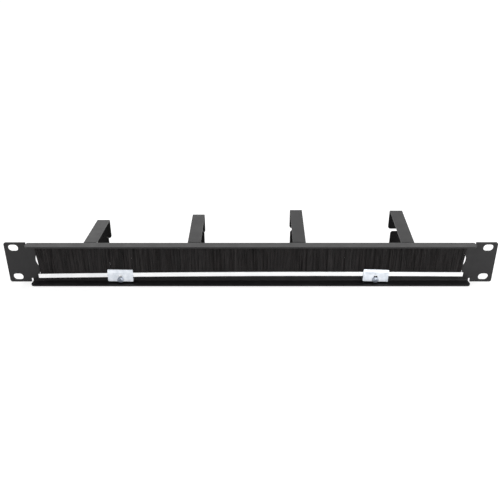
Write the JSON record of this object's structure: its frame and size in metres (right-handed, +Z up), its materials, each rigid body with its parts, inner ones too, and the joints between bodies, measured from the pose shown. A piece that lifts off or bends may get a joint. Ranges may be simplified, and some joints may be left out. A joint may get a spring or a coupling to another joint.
{
  "type": "rack brush strip panel",
  "caption": "One-unit rack panel with folded flanges, a brush-covered cable slot and open cable rings on its front.",
  "frame": {"origin": "centre of the four rack slots, on the ears' rear face, which lies against the rack's rails", "axes": "+X along the panel, +Y out of the panel's front face towards the cable rings, +Z up"},
  "size_m": [0.4826, 0.072, 0.0534],
  "materials": {
    "black_powder_coat": "semi-gloss, fine orange-peel powder coat",
    "galvanised_steel": "bright galvanised, satin",
    "core_wire_steel": "drawn wire, satin",
    "black_bristle": "matte filaments",
    "zinc_plate": "blue-white zinc plating, satin",
    "screw_zinc": "blue-white zinc plating, bright"
  },
  "bodies": {
    "root": {"panel": "black_powder_coat", "brush_channel": "galvanised_steel", "core_wire": "core_wire_steel", "bristles": "black_bristle", "left_clip": "zinc_plate", "right_clip": "zinc_plate", "left_clip_screw": "screw_zinc", "right_clip_screw": "screw_zinc", "cable_ring_1": "black_powder_coat", "cable_ring_2": "black_powder_coat", "cable_ring_3": "black_powder_coat", "cable_ring_4": "black_powder_coat"}
  },
  "joints": []
}
